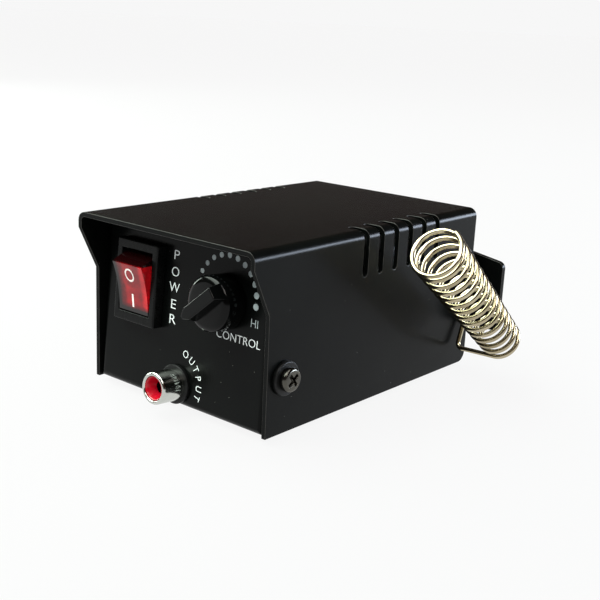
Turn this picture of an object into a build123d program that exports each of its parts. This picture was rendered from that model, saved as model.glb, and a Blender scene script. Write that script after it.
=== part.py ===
from build123d import *
import os
from math import atan, cos, degrees, pi, radians, sin, tan

# Wood burning power unit: a folded steel case with a lit rocker switch, a heat knob, an
# output jack and a coiled wire rest for the pen. Millimetres, +X right, +Y back, +Z up.
# The origin is the point of the table under the middle of the case.

# ---------------------------------------------------------------- case sizes
case_width = 61.0
case_depth = 86.5
case_height = 45.0
sheet = 1.2
cover_bend = 2.4
visor_length = 5.5
slope_low = 29.7
slope_high = 40.9
panel_lean = 4.5
chassis_bend = 2.0
chassis_gap = 0.25
top_gap = 0.7
flange_length = 12.0
relief_height = 3.0
rear_corner = 3.0

slot_count = 6
slot_width = 2.1
slot_pitch = 6.3
slot_first = 35.0
slot_low = 33.3
slot_reach = 5.7

foot_height = 1.6
foot_radius = 5.0
foot_inset = 11.0

screw_radius = 1.5
screw_head_radius = 3.0
screw_head_height = 1.8
screw_clearance = 0.2
cover_screw_inset = 5.9
cover_screw_front_up = 13.9
cover_screw_rear_up = 30.5
washer_radius = 4.25
washer_thickness = 1.1
clinch_nut_radius = 2.7
clinch_nut_height = 2.2

# ---------------------------------------------------------------- rocker switch
switch_x = -14.3
switch_up = 28.7
bezel_width = 15.0
bezel_height = 21.0
bezel_thickness = 2.9
well_width = 11.3
well_height = 16.1
switch_body_width = 12.8
switch_body_height = 18.8
switch_body_depth = 15.0
switch_floor = 1.2
cutout_gap = 0.15
rocker_side_gap = 0.3
rocker_half = 6.4
rocker_rise = 5.75
rocker_skirt = 7.5
rocker_drop = 1.0
rocker_dish = 0.6
rocker_tilt = 15.0
rocker_wall = 1.0
pivot_depth = 1.1
pivot_radius = 1.2
pivot_fit = 0.05
pivot_reach = 0.6
post_size = 3.0
post_drop = 3.0
plunger_radius = 1.0
plunger_drop = 7.5
lamp_radius = 1.3
lamp_length = 7.4
lamp_offset = 3.5
lamp_depth = 2.5
lever_half = 4.6
lever_width = 3.0
lever_thickness = 0.6
lever_depth = 8.3
lever_tilt = 8.0
blade_width = 4.8
blade_thickness = 0.8
blade_length = 7.0
blade_pitch = 6.2

# ---------------------------------------------------------------- heat control
control_x = 14.6
control_up = 29.6
knob_radius = 6.7
knob_face_radius = 5.0
knob_start = 0.5
knob_edge = 5.6
knob_face = 6.9
bar_top = 9.8
bar_width_top = 2.2
bar_width_foot = 4.6
bar_heel_top = 5.8
bar_heel_foot = 6.4
bar_tip_top = 5.4
bar_tip_foot = 7.7
knob_cavity_radius = 4.95
knob_cavity_depth = 3.6
pointer_rest = 220.0
bush_radius = 3.17
bush_top = 3.2
shaft_radius = 1.6
shaft_fit = 0.05
shaft_top = 8.0
control_nut_flats = 7.9
control_nut_height = 2.0
control_washer_radius = 4.5
control_washer_thickness = 0.5
control_case_radius = 8.0
control_case_depth = 9.0
control_case_wall = 0.5
running_gap = 0.35

# ---------------------------------------------------------------- output jack
jack_x = 0.0
jack_up = 5.5
jack_reach = 7.8
jack_radius = 4.05
jack_wall = 1.0
jack_flange_radius = 4.35
jack_flange_thickness = 0.9
jack_thread_radius = 3.0
jack_thread_length = 6.0
collar_radius = 4.95
collar_thickness = 1.0
collar_wall = 0.3
contact_radius = 1.95
contact_bore = 1.6
contact_start = 5.0
jack_nut_flats = 7.4
jack_nut_height = 2.2
lug_radius = 3.4
lug_thickness = 0.5

# ---------------------------------------------------------------- power parts
core_width = 41.0
core_height = 34.0
core_stack = 16.0
core_leg = 13.0
core_window = 7.0
core_y = 64.0
strap_sheet = 0.8
strap_foot = 6.0
winding_thickness = 5.6
bobbin_wall = 0.8
board_width = 48.0
board_depth = 24.0
board_thickness = 1.6
board_front = 20.0
pillar_height = 4.8
pillar_radius = 2.2
pillar_inset = 3.5
small_screw_radius = 1.2
grommet_x = -16.0
grommet_up = 13.0
grommet_bore = 3.0
grommet_radius = 5.6
grommet_neck = 4.2
grommet_lip = 1.8

# ---------------------------------------------------------------- pen rest
rest_wire = 1.3
rest_turns = 13.43
rest_length = 50.0
rest_closed_pitch = 1.45
rest_mouth_radius = 6.45
rest_foot_radius = 5.1
rest_rise = 37.6
rest_spread = 2.8
rest_foot_out = 14.4
rest_foot_forward = 5.2
rest_foot_up = 10.6
rest_arm = 12.6
rest_bend = 1.8
eye_radius = 2.4
bracket_thickness = 1.5
bracket_out = 9.85
bracket_inner_x = 13.0
bracket_low = 11.0
bracket_high = 32.3
bracket_taper = 8.7
bracket_corner = 2.0
bracket_screw_in = 8.5
bracket_screw_high = 25.5
bracket_screw_low = 15.5
bracket_nut_flats = 5.5
bracket_nut_height = 2.4

# ---------------------------------------------------------------- worked out
front_y = -case_depth / 2
rear_y = case_depth / 2
base_z = foot_height
side_x = case_width / 2
chassis_width = case_width - 2 * sheet - 2 * chassis_gap
chassis_top = case_height - sheet - top_gap
lean = radians(panel_lean)

# x across the panel, y up along it, z straight out of it; the origin is at its foot
panel = Plane(origin=(0, front_y, base_z), x_dir=(1, 0, 0), z_dir=(0, -cos(lean), sin(lean)))


def block(low, high):
    """A box between two opposite corners."""
    size = [b - a for a, b in zip(low, high)]
    middle = [(a + b) / 2 for a, b in zip(low, high)]
    return Pos(*middle) * Box(*size)


def rod(radius, start, end):
    """A round bar along Z between two heights."""
    return Pos(0, 0, (start + end) / 2) * Cylinder(radius, end - start)


def ring(outer, inner, start, end):
    """A round bar with a bore."""
    return rod(outer, start, end) - rod(inner, start - 1, end + 1)


def hexagon(flats, start, end):
    """A hexagonal bar with a flat facing down."""
    sketch = RegularPolygon(flats / 2, 6, major_radius=False)
    return Pos(0, 0, start) * extrude(sketch, end - start)


def on_panel(shape, x, up):
    """Places a shape on the leaning front panel."""
    return panel.location * Pos(x, up, 0) * shape


def group(shapes):
    """Separate solids that share one node."""
    return Compound(children=[solid for shape in shapes for solid in shape.solids()])


def pan_screw(radius, length, head_radius, head_height):
    """A cross-recessed pan-head screw, head up, with its seat at z = 0."""
    head = fillet(rod(head_radius, 0, head_height).edges().group_by(Axis.Z)[-1], head_height * 0.45)
    slot = head_radius * 0.62
    recess = Pos(0, 0, head_height) * Box(2 * slot, head_radius * 0.32, head_height * 1.2)
    recess += Pos(0, 0, head_height) * Box(head_radius * 0.32, 2 * slot, head_height * 1.2)
    return rod(radius, -length, 0) + head - recess


# ---------------------------------------------------------------- case
def panel_y(up, inset):
    """How far back the front panel's surface is at a height, set inwards."""
    return front_y + up * tan(lean) + inset / cos(lean)


def chassis_block(inset, top):
    """The chassis's outer shape, set inwards all round and up to a height."""
    corners = [
        (0, panel_y(inset, inset), base_z + inset),
        (0, panel_y(top, inset), base_z + top),
        (0, rear_y - inset, base_z + top),
        (0, rear_y - inset, base_z + inset),
    ]
    body = extrude(make_face(Polyline(*corners, close=True)), chassis_width / 2 - inset, both=True)
    low = body.edges().filter_by(Axis.X).group_by(Axis.Z)[0]
    upright = body.edges().filter_by(lambda edge: abs(edge.tangent_at(0.5).Z) > 0.9)
    return fillet(low + upright, chassis_bend - inset)


def chassis_holes():
    """Everything that passes through the front panel, the rear panel and the base."""
    cutout = Box(
        switch_body_width + 2 * cutout_gap,
        switch_body_height + 2 * cutout_gap,
        6 * sheet,
    )
    holes = [
        on_panel(cutout, switch_x, switch_up),
        on_panel(rod(bush_radius + cutout_gap, -3 * sheet, sheet), control_x, control_up),
        on_panel(rod(jack_thread_radius + collar_wall, -3 * sheet, sheet), jack_x, jack_up),
        rear(rod(grommet_neck, -3 * sheet, sheet), grommet_x, grommet_up),
    ]
    for x, up in bracket_screw_places():
        holes.append(rear(rod(screw_radius + screw_clearance, -3 * sheet, sheet), x, up))
    for x, y in pillar_places() + strap_screw_places():
        holes.append(Pos(x, y, base_z) * rod(small_screw_radius + 0.05, -sheet, 3 * sheet))
    return holes


def rear(shape, x, up):
    """Places a shape on the rear panel, its z pointing straight back."""
    place = Plane(origin=(x, rear_y, base_z + up), x_dir=(-1, 0, 0), z_dir=(0, 1, 0))
    return place.location * shape


def cover_screw_places():
    """The outer face of the cover's side at each screw, looking outwards."""
    spots = (
        (front_y + cover_screw_inset, base_z + cover_screw_front_up),
        (rear_y - cover_screw_inset, base_z + cover_screw_rear_up),
    )
    places = []
    for side in (1, -1):
        for y, z in spots:
            place = Plane(origin=(side * side_x, y, z), x_dir=(0, 1, 0), z_dir=(side, 0, 0))
            places.append(place)
    return places


def make_chassis():
    shell = chassis_block(0, chassis_top) - chassis_block(sheet, chassis_top + 5)
    flange_front = front_y + flange_length
    flange_rear = rear_y - flange_length
    window_low = base_z + sheet
    window_high = base_z + chassis_top + 1
    shell -= block((-side_x, flange_front, window_low), (side_x, flange_rear, window_high))
    for side in (1, -1):
        for start, end in (
            (front_y + 1.5 * chassis_bend, flange_front + 1),
            (flange_rear - 1, rear_y - 1.5 * chassis_bend),
        ):
            edge = side * side_x
            inner = side * (chassis_width / 2 - chassis_bend)
            low = (min(edge, inner), start, window_low)
            high = (max(edge, inner), end, window_low + relief_height)
            shell -= block(low, high)
    for hole in chassis_holes():
        shell -= hole
    for place in cover_screw_places():
        shell -= place.location * rod(screw_radius + 0.05, -3 * sheet, sheet)
    return shell


def make_cover():
    outer = Pos(0, 0, base_z + case_height / 2) * Box(
        case_width, case_depth + 2 * visor_length, case_height
    )
    outer = fillet(outer.edges().filter_by(Axis.Y).group_by(Axis.Z)[-1], cover_bend)
    inner = Pos(0, 0, base_z + case_height / 2 - sheet) * Box(
        case_width - 2 * sheet, case_depth + 4 * visor_length, case_height
    )
    inner = fillet(inner.edges().filter_by(Axis.Y).group_by(Axis.Z)[-1], cover_bend - sheet)
    cover = outer - inner
    cover -= block((-case_width, rear_y, 0), (case_width, rear_y + 20, 100))
    front = [
        (0, front_y, base_z - 1),
        (0, front_y, base_z + slope_low),
        (0, front_y - visor_length, base_z + slope_high),
        (0, front_y - visor_length - 20, base_z + slope_high),
        (0, front_y - visor_length - 20, base_z - 1),
    ]
    cover -= extrude(make_face(Polyline(*front, close=True)), case_width, both=True)
    lowest = cover.edges().filter_by(Axis.X).group_by(Axis.Z)[0]
    cover = fillet(lowest.group_by(Axis.Y)[-1], rear_corner)
    for index in range(slot_count):
        for side in (1, -1):
            cover -= cooling_slot(front_y + slot_first + index * slot_pitch, side)
    for place in cover_screw_places():
        cover -= place.location * rod(screw_radius + screw_clearance, -3 * sheet, sheet)
    return cover


def cooling_slot(y, side):
    """A slot that runs down the side and over the bend onto the top."""
    half = slot_width / 2
    low = base_z + slot_low
    top = base_z + case_height
    inner = side_x - slot_reach
    xs = sorted((side * (inner + half), side * (side_x + 1)))
    cut = block((xs[0], y - half, low + half), (xs[1], y + half, top + 1))
    outside = Plane(origin=(side * side_x, y, low + half), x_dir=(0, 1, 0), z_dir=(side, 0, 0))
    cut += outside.location * rod(half, -slot_reach / 2, 1)
    cut += Pos(side * (inner + half), y, top) * rod(half, -slot_reach / 2, 1)
    return cut


def make_cover_fasteners():
    screws = []
    washers = []
    nuts = []
    seat = washer_thickness
    length = seat + sheet + chassis_gap + sheet + clinch_nut_height
    inside = -(sheet + chassis_gap + sheet)
    for place in cover_screw_places():
        screw = pan_screw(screw_radius, length, screw_head_radius, screw_head_height)
        screws.append(place.location * Pos(0, 0, seat) * Rot(0, 0, 38) * screw)
        washer = ring(washer_radius, screw_radius + screw_clearance, 0, seat)
        rim = washer.edges().group_by(Axis.Z)[-1].sort_by(SortBy.LENGTH)[-1]
        washers.append(place.location * chamfer(rim, 0.25))
        nut = ring(clinch_nut_radius, screw_radius + 0.02, inside - clinch_nut_height, inside)
        nuts.append(place.location * nut)
    return group(screws), group(washers), group(nuts)


def make_feet():
    feet = []
    for x in (foot_inset - side_x, side_x - foot_inset):
        for y in (front_y + foot_inset, rear_y - foot_inset):
            foot = rod(foot_radius, 0, foot_height)
            feet.append(Pos(x, y, 0) * fillet(foot.edges().group_by(Axis.Z)[0], 0.4))
    return group(feet)


# ---------------------------------------------------------------- rocker switch
def make_switch_housing():
    bezel = Pos(0, 0, bezel_thickness / 2) * Box(bezel_width, bezel_height, bezel_thickness)
    bezel = fillet(bezel.edges().filter_by(Axis.Z) + bezel.edges().group_by(Axis.Z)[-1], 0.5)
    body = block(
        (-switch_body_width / 2, -switch_body_height / 2, -switch_body_depth),
        (switch_body_width / 2, switch_body_height / 2, 0),
    )
    housing = bezel + body
    housing -= block(
        (-well_width / 2, -well_height / 2, switch_floor - switch_body_depth),
        (well_width / 2, well_height / 2, bezel_thickness + 1),
    )
    socket = pivot_reach + 0.08
    half = well_width / 2 + socket
    pin_hole = Rot(0, 90, 0) * rod(pivot_radius + pivot_fit, -half, half)
    housing -= Pos(0, 0, -pivot_depth) * pin_hole
    for y in (-blade_pitch, 0, blade_pitch):
        housing -= Pos(0, y, -switch_body_depth) * Box(
            blade_width + 0.1, blade_thickness + 0.1, 4 * switch_floor
        )
    return on_panel(housing, switch_x, switch_up)


def at_rocker(shape, tilt):
    """Places a shape drawn about the rocker's pivot, tipped about the pins."""
    return on_panel(Pos(0, 0, -pivot_depth) * Rot(tilt, 0, 0) * shape, switch_x, switch_up)


def rocker_outline(inset):
    """The rocker's side view about its pivot: x is up the panel, y is outwards."""
    top = rocker_rise - inset
    half = rocker_half - inset
    skirt = rocker_skirt - inset
    bottom = -rocker_drop if inset == 0 else -rocker_drop - 1
    right = ThreePointArc(
        (half, top),
        (half + (skirt - half) * 0.72, top * 0.52),
        (skirt, 0),
    )
    left = ThreePointArc(
        (-skirt, 0),
        (-half - (skirt - half) * 0.72, top * 0.52),
        (-half, top),
    )
    lines = [
        ThreePointArc((-half, top), (0, top - rocker_dish), (half, top)),
        right,
        Line((skirt, 0), (skirt, bottom)),
        Line((skirt, bottom), (-skirt, bottom)),
        Line((-skirt, bottom), (-skirt, 0)),
        left,
    ]
    return make_face(lines)


def across(outline, width):
    """Extrudes a side view across the switch: x is up the panel, y is outwards."""
    place = Plane(origin=(0, 0, 0), x_dir=(0, 1, 0), z_dir=(1, 0, 0))
    return place.location * extrude(outline, width / 2, both=True)


def make_rocker():
    width = well_width - 2 * rocker_side_gap
    outer = across(rocker_outline(0), width)
    rocker = outer - across(rocker_outline(rocker_wall), width - 2 * rocker_wall)
    roof = rocker_rise - rocker_dish
    post = Pos(0, 0, (roof - 0.5 - post_drop) / 2) * Box(post_size, post_size, roof - 0.5 + post_drop)
    rocker += post
    rocker -= rod(plunger_radius + 0.05, -post_drop - 1, 0)
    pins = Rot(0, 90, 0) * rod(pivot_radius, -well_width / 2 - pivot_reach, well_width / 2 + pivot_reach)
    middle = width / 2 - rocker_wall
    pins -= Box(2 * middle, 4 * pivot_radius, 4 * pivot_radius)
    rocker += pins
    plunger = rod(plunger_radius, -plunger_drop, -0.5)
    plunger = fillet(plunger.edges().group_by(Axis.Z)[0], plunger_radius * 0.8)
    lamp = Rot(0, 90, 0) * rod(lamp_radius, -lamp_length / 2, lamp_length / 2)
    lamp = Pos(0, lamp_offset, roof - lamp_depth) * lamp
    lamp = fillet(lamp.edges(), lamp_radius * 0.6)
    return [at_rocker(piece, rocker_tilt) for piece in (rocker, plunger, lamp)]


def make_contacts():
    lever = Box(lever_width, 2 * lever_half, lever_thickness)
    lever += Pos(0, 0, -lever_thickness / 2) * Rot(0, 90, 0) * rod(0.5, -lever_width / 2, lever_width / 2)
    place = Pos(0, 0, -pivot_depth - lever_depth) * Rot(-lever_tilt, 0, 0)
    lever = on_panel(place * lever, switch_x, switch_up)
    blades = []
    outside = -switch_body_depth - blade_length
    seat = -pivot_depth - lever_depth - lever_thickness / 2 - 0.5 - running_gap
    for y in (-blade_pitch, 0, blade_pitch):
        inside = seat if y == 0 else switch_floor - switch_body_depth + 1.2
        blade = block(
            (-blade_width / 2, y - blade_thickness / 2, outside),
            (blade_width / 2, y + blade_thickness / 2, inside),
        )
        blade -= Pos(0, y, outside + 2.2) * Rot(90, 0, 0) * rod(0.8, -2, 2)
        blades.append(on_panel(blade, switch_x, switch_up))
    return lever, group(blades)


# ---------------------------------------------------------------- heat control
def knob_bar():
    """The raised pointer bar, its tip along +X."""
    foot = knob_edge - 0.5
    low = [
        (-bar_heel_foot, bar_width_foot / 2),
        (bar_tip_top, bar_width_foot / 2),
        (bar_tip_foot, 0.5),
        (bar_tip_foot, -0.5),
        (bar_tip_top, -bar_width_foot / 2),
        (-bar_heel_foot, -bar_width_foot / 2),
    ]
    high = [
        (-bar_heel_top, bar_width_top / 2),
        (bar_tip_top - 1, bar_width_top / 2),
        (bar_tip_top, 0.4),
        (bar_tip_top, -0.4),
        (bar_tip_top - 1, -bar_width_top / 2),
        (-bar_heel_top, -bar_width_top / 2),
    ]
    bottom = Pos(0, 0, foot) * make_face(Polyline(*low, close=True))
    top = Pos(0, 0, bar_top) * make_face(Polyline(*high, close=True))
    return loft([bottom, top], ruled=True)


def make_control():
    skirt = [
        (knob_cavity_radius, knob_start),
        (knob_radius, knob_start),
        (knob_radius, knob_edge),
    ]
    crown = ThreePointArc(
        (knob_radius, knob_edge),
        (knob_radius - 0.55, knob_edge + 0.85),
        (knob_face_radius, knob_face),
    )
    ceiling = knob_start + knob_cavity_depth
    inside = [
        (knob_face_radius, knob_face),
        (0, knob_face),
        (0, ceiling),
        (knob_cavity_radius, ceiling),
        (knob_cavity_radius, knob_start),
    ]
    outline = make_face([Polyline(*skirt), crown, Polyline(*inside)])
    knob = revolve(Plane.XZ * outline, Axis.Z)
    knob += Rot(0, 0, pointer_rest) * knob_bar()
    knob -= rod(shaft_radius + 0.02, 0, shaft_top)

    back = -sheet - control_case_depth
    shaft = rod(shaft_radius, back + 2.2, shaft_top)
    wiper_back = back + 2.4
    hub = ring(2.8, shaft_radius, wiper_back, wiper_back + 1.6)
    arm = block((0, -0.8, wiper_back), (6.2, 0.8, wiper_back + 0.5)) - rod(2.5, wiper_back - 1, 0)
    wiper = Rot(0, 0, pointer_rest) * (hub + arm)
    moving = [on_panel(piece, control_x, control_up) for piece in (knob, shaft, wiper)]

    wall = control_case_wall
    case = rod(control_case_radius, back, -sheet)
    case -= rod(control_case_radius - wall, back + wall, -sheet - wall)
    case -= rod(bush_radius, -2 * sheet, 0)
    case -= block((-4.2, -control_case_radius - 1, back + 3.4), (4.2, -5.5, back + 4.4))
    bush = ring(bush_radius, shaft_radius + shaft_fit, -sheet - wall, bush_top)
    bush += ring(4.6, shaft_radius + shaft_fit, -sheet - wall - 0.8, -sheet - wall)
    washer = ring(control_washer_radius, bush_radius + 0.02, 0, control_washer_thickness)
    nut_top = control_washer_thickness + control_nut_height
    nut = hexagon(control_nut_flats, control_washer_thickness, nut_top)
    nut -= rod(bush_radius + 0.02, 0, nut_top + 1)
    track = ring(7.2, 4.4, back + wall, back + wall + 1.0)
    lugs = []
    for x in (-3.2, 0, 3.2):
        lug = block((x - 0.7, -control_case_radius - 5, back + 3.7), (x + 0.7, -6.9, back + 4.1))
        lugs.append(on_panel(lug, control_x, control_up))
    fixed = [on_panel(piece, control_x, control_up) for piece in (case, bush, washer, nut, track)]
    return moving, fixed + [group(lugs)]


# ---------------------------------------------------------------- output jack
def make_jack():
    collar = ring(collar_radius, jack_thread_radius + 0.02, 0, collar_thickness)
    rim = collar.edges().group_by(Axis.Z)[-1].sort_by(SortBy.LENGTH)[-1]
    collar = fillet(rim, 0.3)
    collar += ring(jack_thread_radius + collar_wall - 0.02, jack_thread_radius + 0.02, -sheet, 0)

    flange_top = collar_thickness + jack_flange_thickness
    floor = flange_top + 0.6
    shell = rod(jack_thread_radius, -jack_thread_length, collar_thickness)
    shell += rod(jack_flange_radius, collar_thickness, flange_top)
    shell += rod(jack_radius, flange_top, jack_reach)
    shell -= rod(jack_radius - jack_wall, floor, jack_reach + 1)
    shell -= rod(2.2, -jack_thread_length - 1, floor + 1)
    lips = shell.edges().group_by(Axis.Z)[-1]
    shell = fillet(lips, 0.45)

    mouth = jack_radius - jack_wall
    body = rod(mouth - 0.02, floor, jack_reach - 0.3)
    body += rod(2.18, -jack_thread_length - 1, floor)
    funnel_height = jack_reach - 0.3 - contact_start
    funnel = Pos(0, 0, contact_start + funnel_height / 2) * Cone(contact_bore, mouth - 0.25, funnel_height)
    body -= funnel
    body -= rod(contact_radius, floor + 0.2, contact_start)
    body -= rod(1.0, -jack_thread_length - 2, floor + 0.3)

    contact = ring(contact_radius - 0.02, contact_bore, floor + 0.8, contact_start - 0.05)
    contact += rod(contact_radius - 0.02, floor + 0.22, floor + 0.8)
    contact += rod(0.98, -jack_thread_length - 4, floor + 0.3)

    back = -sheet - lug_thickness
    lug = ring(lug_radius, jack_thread_radius + 0.02, back, -sheet)
    tail = block((-1.2, lug_radius - 0.4, back), (1.2, lug_radius + 5.5, -sheet))
    lug += tail - Pos(0, lug_radius + 4, 0) * rod(0.6, back - 1, 0)
    nut = hexagon(jack_nut_flats, back - jack_nut_height, back) - rod(jack_thread_radius + 0.02, -20, 0)
    pieces = (collar, shell, body, contact, lug, nut)
    return [on_panel(piece, jack_x, jack_up) for piece in pieces]


# ---------------------------------------------------------------- power parts
def strap_screw_places():
    """Where the transformer's strap is screwed to the base."""
    x = core_width / 2 + strap_sheet + strap_foot / 2
    return [(x, front_y + core_y), (-x, front_y + core_y)]


def pillar_places():
    """The four board pillars."""
    x = board_width / 2 - pillar_inset
    near = front_y + board_front + pillar_inset
    far = front_y + board_front + board_depth - pillar_inset
    return [(x, near), (-x, near), (x, far), (-x, far)]


def make_transformer():
    floor = base_z + sheet
    low = (core_width - core_leg - 2 * core_window) / 4
    window_height = core_height - 2 * low
    core = block((-core_width / 2, -core_stack / 2, 0), (core_width / 2, core_stack / 2, core_height))
    for side in (1, -1):
        x = side * (core_leg + core_window) / 2
        core -= Pos(x, 0, core_height / 2) * Box(core_window, core_stack + 2, window_height)

    leg_x = core_leg / 2 + 0.1
    leg_y = core_stack / 2 + 0.1
    tube_x = leg_x + bobbin_wall
    tube_y = leg_y + bobbin_wall
    reach = winding_thickness
    high = core_height - low
    bobbin = block((-tube_x, -tube_y, low + 0.1), (tube_x, tube_y, high - 0.1))
    rim_x = tube_x + reach
    rim_y = tube_y + reach
    for z in (low + 0.1, core_height / 2 - bobbin_wall / 2, high - 0.1 - bobbin_wall):
        bobbin += block((-rim_x, -rim_y, z), (rim_x, rim_y, z + bobbin_wall))
    bobbin -= block((-leg_x, -leg_y, 0), (leg_x, leg_y, core_height))

    windings = []
    half = core_height / 2
    spans = (
        (low + 0.1 + bobbin_wall, half - bobbin_wall / 2),
        (half + bobbin_wall / 2, high - 0.1 - bobbin_wall),
    )
    for start, end in spans:
        out = reach - 0.4
        coil = block((-tube_x - out, -tube_y - out, start), (tube_x + out, tube_y + out, end))
        coil = fillet(coil.edges().filter_by(Axis.Z), 3.0)
        coil -= block((-tube_x, -tube_y, start - 1), (tube_x, tube_y, end + 1))
        windings.append(coil)

    wide = core_width / 2
    tall = core_height
    strip = core_stack / 2 - 2
    outer = block((-wide - strap_sheet, -strip, 0), (wide + strap_sheet, strip, tall + strap_sheet))
    strap = outer - block((-wide, -strip - 1, -1), (wide, strip + 1, tall))
    for side in (1, -1):
        xs = sorted((side * wide, side * (wide + strap_sheet + strap_foot)))
        foot = block((xs[0], -strip, 0), (xs[1], strip, strap_sheet))
        strap += foot
        x = side * (wide + strap_sheet + strap_foot / 2)
        strap -= Pos(x, 0, 0) * rod(small_screw_radius + 0.05, -1, 3)
    place = Pos(0, front_y + core_y, floor)
    parts = [place * piece for piece in (core, bobbin, *windings, strap)]
    screws = []
    for x, y in strap_screw_places():
        screw = pan_screw(small_screw_radius, strap_sheet + sheet, 2.3, 1.7)
        screws.append(Pos(x, y, floor + strap_sheet) * screw)
    return parts + [group(screws)]


def make_board():
    floor = base_z + sheet
    low = floor + pillar_height
    top = low + board_thickness
    near = front_y + board_front
    middle = near + board_depth / 2
    half = board_width / 2
    board = block((-half, near, low), (half, near + board_depth, top))
    pillars = []
    screws = []
    for x, y in pillar_places():
        board -= Pos(x, y, low) * rod(small_screw_radius + 0.05, -1, 5)
        pillars.append(Pos(x, y, floor) * ring(pillar_radius, small_screw_radius + 0.05, 0, pillar_height))
        screw = pan_screw(small_screw_radius, board_thickness + pillar_height + sheet, 2.2, 1.6)
        screws.append(Pos(x, y, top) * screw)

    sink_y = near + board_depth - 5.0
    sink = block((1.0, sink_y, top), (15.5, sink_y + 1.6, top + 22.0))
    for x in (3.0, 6.2, 9.4, 12.6):
        sink += block((x, sink_y + 1.6, top), (x + 1.0, sink_y + 4.6, top + 22.0))
    triac = block((3.2, sink_y - 1.3, top + 4.5), (13.2, sink_y, top + 19.5))
    triac += block((3.2, sink_y - 4.5, top + 4.5), (13.2, sink_y - 1.3, top + 13.5))
    for x in (5.7, 8.2, 10.7):
        triac += block((x - 0.4, sink_y - 3.4, top), (x + 0.4, sink_y - 2.8, top + 4.5))

    capacitor = block((-17.0, near + 8.2, top), (-3.0, near + 14.2, top + 10.5))
    capacitor = fillet(capacitor.edges().filter_by(Axis.Z), 0.8)
    fuse_z = top + 4.0
    lie = Pos(-8.5, near + 19.0, fuse_z) * Rot(0, 90, 0)
    fuse = lie * ring(2.3, 2.0, -5.4, 5.4)
    for x0, x1 in ((-9.4, -5.4), (5.4, 9.4)):
        fuse += lie * rod(2.6, x0, x1)
    clips = []
    for x in (-15.9, -1.1):
        clip = block((x - 1.6, near + 15.8, top), (x + 1.6, near + 22.2, top + 7.0))
        clip -= block((x - 3, near + 16.3, top + 0.5), (x + 3, near + 21.7, top + 9.0))
        clips.append(clip)
    resistors = []
    for x in (-12.0, -4.0):
        body = Pos(x, near + 3.6, top + 1.5) * Rot(0, 90, 0) * rod(1.2, -3.0, 3.0)
        resistors.append(fillet(body.edges(), 0.4))
    terminal = block((6.5, near + 1.5, top), (16.7, near + 9.0, top + 9.0))
    for x in (9.1, 14.1):
        terminal -= Pos(x, near + 5.2, top + 9.0) * rod(1.6, -2.2, 1)
        terminal -= block((x - 1.5, near + 0.5, top + 1.5), (x + 1.5, near + 4.0, top + 4.5))
    return {
        "circuit_board": board,
        "board_pillars": group(pillars),
        "board_screws": group(screws),
        "heat_sink": sink,
        "triac": triac,
        "capacitor": capacitor,
        "fuse": fuse,
        "fuse_clips": group(clips),
        "resistors": group(resistors),
        "terminal_block": terminal,
    }


def make_grommet():
    grommet = ring(grommet_radius, grommet_bore, 0, grommet_lip)
    rim = grommet.edges().group_by(Axis.Z)[-1].sort_by(SortBy.LENGTH)[-1]
    grommet = fillet(rim, 0.8)
    grommet += ring(grommet_neck - 0.02, grommet_bore, -sheet, 0)
    grommet += ring(grommet_radius, grommet_bore, -sheet - grommet_lip, -sheet)
    return rear(grommet, grommet_x, grommet_up)


# ---------------------------------------------------------------- pen rest
def bracket_screw_places():
    """Across and up, on the rear panel."""
    x = side_x - bracket_screw_in
    return [(x, bracket_screw_high), (x, bracket_screw_low)]


rest_foot = Vector(side_x + rest_foot_out, rear_y - rest_foot_forward, base_z + rest_foot_up)
rest_axis = Vector(
    cos(radians(rest_rise)) * sin(radians(rest_spread)),
    -cos(radians(rest_rise)) * cos(radians(rest_spread)),
    sin(radians(rest_rise)),
)
rest_frame = Plane(
    origin=rest_foot,
    x_dir=Vector(1, 0, 0) - rest_axis * rest_axis.X,
    z_dir=rest_axis,
)


def leg_points():
    """The wire's corners, from the eye under the screw to the start of the coil."""
    pitch = rest_length / rest_turns
    climb = atan(pitch / (2 * pi * rest_foot_radius))
    start = Vector(0, -rest_foot_radius, 0)
    knee = start - Vector(cos(climb), 0, sin(climb)) * rest_arm
    start_point = rest_frame.from_local_coords(start)
    knee_point = rest_frame.from_local_coords(knee)

    eye_y = rear_y + bracket_thickness + rest_wire / 2 + 0.02
    x, up = bracket_screw_places()[0]
    eye_z = base_z + up
    slot_x = side_x + rest_wire / 2 + 0.05
    top = eye_z + eye_radius
    gap = rest_wire + 0.3
    return [
        Vector(x + eye_radius, eye_y, top - gap),
        Vector(x + eye_radius, eye_y, eye_z - eye_radius),
        Vector(x - eye_radius, eye_y, eye_z - eye_radius),
        Vector(x - eye_radius, eye_y, top),
        Vector(slot_x, eye_y, top),
        knee_point,
        start_point,
    ]


def drawn_wire(line):
    """The rest's wire drawn along one edge."""
    start = Plane(origin=line @ 0, z_dir=line % 0)
    return sweep(start * Circle(rest_wire / 2), path=line, is_frenet=True)


def make_rest():
    points = leg_points()
    radii = [eye_radius * 0.98] * 3 + [rest_bend] * 2
    leg = [drawn_wire(edge) for edge in FilletPolyline(*points, radius=radii).edges()]

    cone = degrees(atan((rest_mouth_radius - rest_foot_radius) / rest_length))
    pitch = rest_length / rest_turns
    line = Helix(pitch=pitch, height=rest_length, radius=rest_foot_radius, cone_angle=cone)
    coil = drawn_wire((rest_frame.location * Rot(0, 0, -90) * line).edge())

    turned = 360 * rest_turns - 90
    line = Helix(pitch=rest_closed_pitch, height=rest_closed_pitch, radius=rest_mouth_radius)
    closing = drawn_wire((rest_frame.location * Pos(0, 0, rest_length) * Rot(0, 0, turned) * line).edge())
    return coil + closing + leg


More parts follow.
